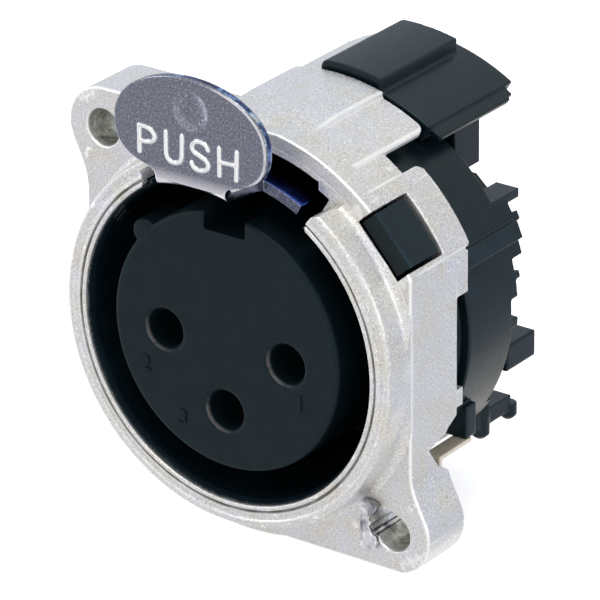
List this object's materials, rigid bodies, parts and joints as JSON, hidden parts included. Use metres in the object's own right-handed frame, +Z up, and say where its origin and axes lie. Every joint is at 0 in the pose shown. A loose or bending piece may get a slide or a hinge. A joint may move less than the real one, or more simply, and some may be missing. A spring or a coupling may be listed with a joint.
{
  "type": "xlr panel socket",
  "caption": "Round panel socket with a push-to-release latch tab, a cast metal flange with diagonal ears, a black contact insert and a moulded rear body with contact tails.",
  "frame": {"origin": "on the axis of the round mouth, in the plane of the flange's front face, which lies against the back of the panel", "axes": "-Y out of the mouth towards the user, +Y into the device, +Z up towards the latch tab, +X to the right as seen from the front"},
  "size_m": [0.0246, 0.0226, 0.0293],
  "materials": {
    "cast_nickel": "nickel-plated casting, fine-grained satin",
    "latch_chrome": "polished",
    "insert_black": "fine matte moulding",
    "rear_black": "satin moulding",
    "strip_tin": "dull tin",
    "spring_steel": "bright",
    "contact_silver": "silver-plated"
  },
  "bodies": {
    "socket": {"shell": "cast_nickel", "housing": "rear_black", "contact_insert": "insert_black", "contact_1": "contact_silver", "contact_2": "contact_silver", "contact_3": "contact_silver", "latch_pin": "spring_steel", "latch_spring": "spring_steel", "rear_cover": "rear_black", "pin_guide": "rear_black", "ground_strip": "strip_tin", "bore_ground_spring": "spring_steel"},
    "latch": {"latch_lever": "latch_chrome"}
  },
  "joints": [
    {"name": "latch_release", "type": "hinge", "parent": "socket", "child": "latch", "pos_m": [0, 0.0076, 0.01075], "axis": [-1, 0, 0], "range_deg": [0, 5], "stiffness_Nm_per_rad": 0.08, "springref_deg": -14.32, "deforming": ["latch_spring"]}
  ]
}
